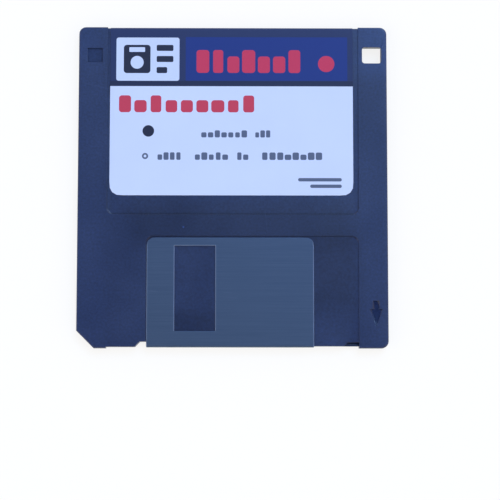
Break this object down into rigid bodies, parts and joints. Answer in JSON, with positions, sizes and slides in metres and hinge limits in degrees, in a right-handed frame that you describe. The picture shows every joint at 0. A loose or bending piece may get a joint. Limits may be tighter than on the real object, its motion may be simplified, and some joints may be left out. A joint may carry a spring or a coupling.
{
  "type": "floppy disk",
  "caption": "Rigid moulded 90 mm disk cartridge holding a thin magnetic disk on a steel hub, with a sprung sliding metal shutter, a write-protect slider and a wrap-over label.",
  "frame": {"origin": "on the back of the case, at the middle of its width and length, where the hub's axis crosses it", "axes": "+X to the right seen from the label side, +Y towards the labelled trailing end, +Z out of the label side"},
  "size_m": [0.09, 0.094, 0.0033],
  "materials": {
    "case_plastic": "fine moulded texture, navy",
    "slider_plastic": "smooth moulded, near black",
    "shutter_steel": "brushed along the leading edge, blue-grey tint",
    "hub_steel": "stamped, satin",
    "spring_steel": "drawn wire",
    "disk_coating": "burnished oxide coating on polyester film",
    "liner_fibre": "non-woven fibre",
    "lifter_film": "amber polyester sheet",
    "adhesive_tape": "double-sided tape",
    "label_paper": "printed, semi-matt"
  },
  "bodies": {
    "case": {"front_shell": "case_plastic", "back_shell": "case_plastic", "front_liner": "liner_fibre", "back_liner": "liner_fibre", "lifter": "lifter_film", "shutter_spring": "spring_steel", "label": "label_paper"},
    "shutter": {"shutter": "shutter_steel"},
    "disk": {"magnetic_disk": "disk_coating", "hub": "hub_steel", "hub_adhesive_ring": "adhesive_tape"},
    "slider": {"write_protect_slider": "slider_plastic"}
  },
  "joints": [
    {"name": "shutter_slide", "type": "slide", "parent": "case", "child": "shutter", "axis": [1, 0, 0], "range_m": [0, 0.0123], "stiffness_N_per_m": 40, "springref_m": -0.005, "deforming": ["shutter_spring"]},
    {"name": "disk_spin", "type": "hinge", "parent": "case", "child": "disk", "pos_m": [0, 0, 0.00117], "axis": [0, 0, 1], "continuous": true},
    {"name": "slider_slide", "type": "slide", "parent": "case", "child": "slider", "axis": [0, -1, 0], "range_m": [0, 0.00505]}
  ]
}
